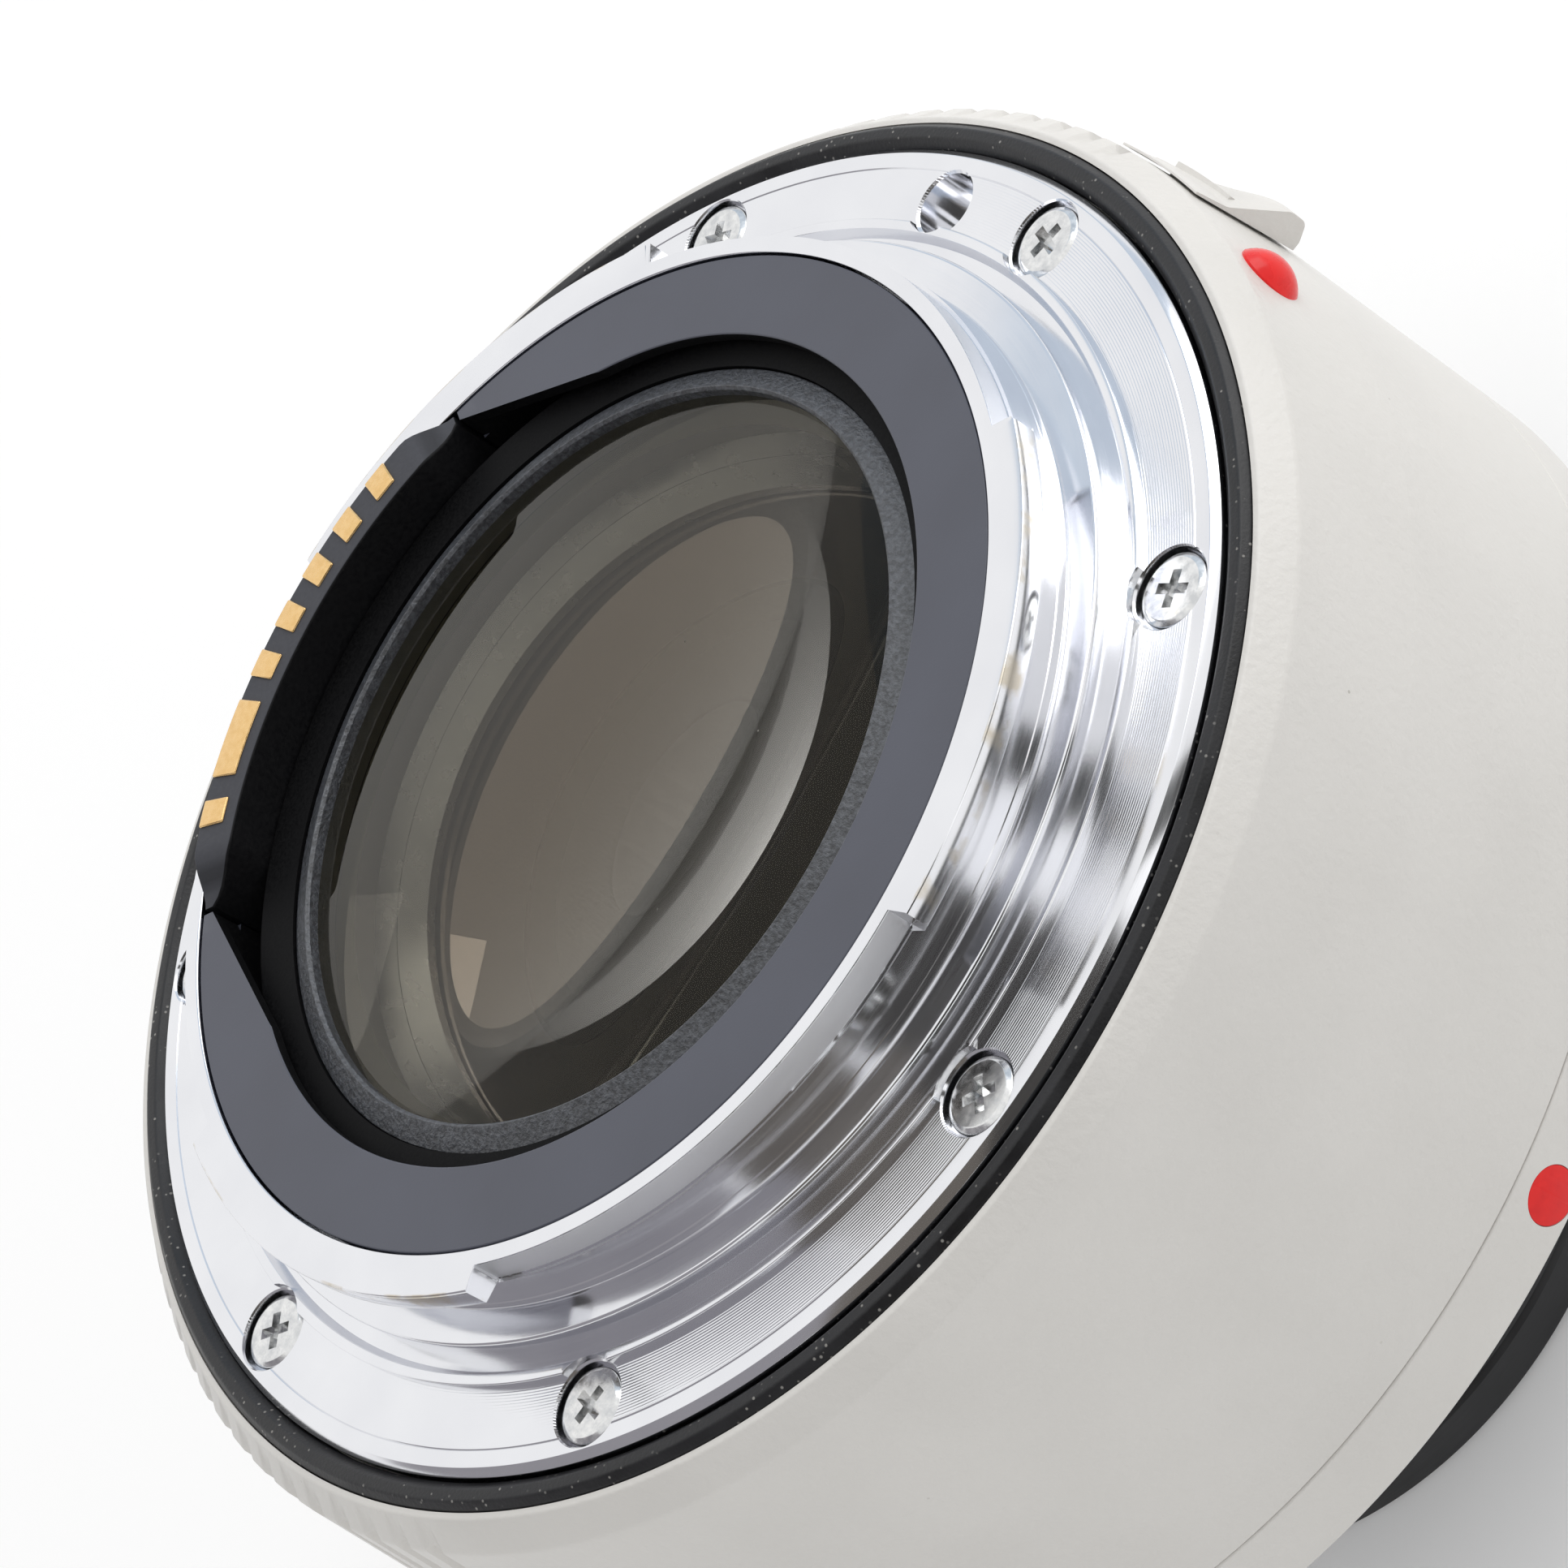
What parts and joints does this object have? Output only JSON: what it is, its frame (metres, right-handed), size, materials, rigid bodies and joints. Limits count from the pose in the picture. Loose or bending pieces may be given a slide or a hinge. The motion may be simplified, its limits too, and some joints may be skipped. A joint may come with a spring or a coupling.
{
  "type": "camera teleconverter",
  "caption": "Short ring-shaped camera teleconverter: bayonet and contacts on the camera side, bayonet throat, sprung contacts and protruding lens barrel on the lens side.",
  "frame": {"origin": "on the optical axis, in the plane of the rear flange that seats on a camera", "axes": "+Z along the optical axis towards the camera; the contact blocks point along -X and the front index dot along +X"},
  "size_m": [0.072, 0.0729, 0.0534],
  "materials": {
    "chrome_mount": "turned and plated metal, with fine lathe rings and polished walls",
    "steel_screw": "plated cross-head screws and pins",
    "spring_steel": "plain spring steel",
    "black_rubber": "smooth black rubber with a soft shine",
    "grey_cover": "satin dark grey coating",
    "black_plastic": "moulded black plastic",
    "gold_contact": "polished gold plating",
    "light_paint": "warm very light grey paint with a fine texture",
    "red_bead": "glossy red plastic",
    "red_dot": "red paint filled flush into the ring",
    "black_anodised": "black anodised and turned",
    "matte_ring": "matte black with a fine grain",
    "lens_glass": "coated optical glass",
    "green_board": "green circuit board",
    "amber_film": "amber flexible circuit film"
  },
  "bodies": {
    "housing": {"rear_bayonet": "chrome_mount", "front_bayonet": "chrome_mount", "rear_mount_screws": "steel_screw", "front_mount_screws": "steel_screw", "rear_mount_shim": "spring_steel", "mount_seal": "black_rubber", "rear_cover": "grey_cover", "rear_contact_block": "black_plastic", "rear_contact_pads": "gold_contact", "contact_block_screws": "steel_screw", "rear_shell": "light_paint", "rear_index_bead": "red_bead", "front_ring": "light_paint", "front_index_dot": "red_dot", "mount_barrel": "black_anodised", "lug_springs": "spring_steel", "front_contact_block": "black_plastic", "front_contact_screws": "steel_screw", "contact_pin_springs": "spring_steel", "lock_spring": "spring_steel", "rear_lens_cell": "black_anodised", "front_lens_cell": "black_anodised", "cell_screws": "steel_screw", "rear_retainer": "matte_ring", "mid_retainer": "matte_ring", "front_retainer": "matte_ring", "circuit_board": "green_board", "board_chips": "black_plastic", "board_screws": "steel_screw", "flex_cable": "amber_film", "lens_1": "lens_glass", "lens_2": "lens_glass", "lens_3": "lens_glass", "lens_4": "lens_glass", "lens_5": "lens_glass", "lens_6": "lens_glass", "lens_7": "lens_glass"},
    "release": {"release_lever": "light_paint", "lever_slide": "spring_steel", "lever_screws": "steel_screw", "lock_pin": "steel_screw"},
    "contact_1": {"contact_pin_1": "gold_contact"},
    "contact_2": {"contact_pin_2": "gold_contact"},
    "contact_3": {"contact_pin_3": "gold_contact"},
    "contact_4": {"contact_pin_4": "gold_contact"},
    "contact_5": {"contact_pin_5": "gold_contact"},
    "contact_6": {"contact_pin_6": "gold_contact"},
    "contact_7": {"contact_pin_7": "gold_contact"},
    "contact_8": {"contact_pin_8": "gold_contact"}
  },
  "joints": [
    {"name": "release_slide", "type": "slide", "parent": "housing", "child": "release", "axis": [0, 0, 1], "range_m": [0, 0.0016], "stiffness_N_per_m": 600, "springref_m": -0.003, "deforming": ["lock_spring"]},
    {"name": "contact_1_slide", "type": "slide", "parent": "housing", "child": "contact_1", "axis": [0, 0, 1], "range_m": [0, 0.0009], "stiffness_N_per_m": 300, "springref_m": -0.001, "deforming": ["contact_pin_springs"]},
    {"name": "contact_2_slide", "type": "slide", "parent": "housing", "child": "contact_2", "axis": [0, 0, 1], "range_m": [0, 0.0009], "stiffness_N_per_m": 300, "springref_m": -0.001, "deforming": ["contact_pin_springs"]},
    {"name": "contact_3_slide", "type": "slide", "parent": "housing", "child": "contact_3", "axis": [0, 0, 1], "range_m": [0, 0.0009], "stiffness_N_per_m": 300, "springref_m": -0.001, "deforming": ["contact_pin_springs"]},
    {"name": "contact_4_slide", "type": "slide", "parent": "housing", "child": "contact_4", "axis": [0, 0, 1], "range_m": [0, 0.0009], "stiffness_N_per_m": 300, "springref_m": -0.001, "deforming": ["contact_pin_springs"]},
    {"name": "contact_5_slide", "type": "slide", "parent": "housing", "child": "contact_5", "axis": [0, 0, 1], "range_m": [0, 0.0009], "stiffness_N_per_m": 300, "springref_m": -0.001, "deforming": ["contact_pin_springs"]},
    {"name": "contact_6_slide", "type": "slide", "parent": "housing", "child": "contact_6", "axis": [0, 0, 1], "range_m": [0, 0.0009], "stiffness_N_per_m": 300, "springref_m": -0.001, "deforming": ["contact_pin_springs"]},
    {"name": "contact_7_slide", "type": "slide", "parent": "housing", "child": "contact_7", "axis": [0, 0, 1], "range_m": [0, 0.0009], "stiffness_N_per_m": 300, "springref_m": -0.001, "deforming": ["contact_pin_springs"]},
    {"name": "contact_8_slide", "type": "slide", "parent": "housing", "child": "contact_8", "axis": [0, 0, 1], "range_m": [0, 0.0009], "stiffness_N_per_m": 300, "springref_m": -0.001, "deforming": ["contact_pin_springs"]}
  ]
}
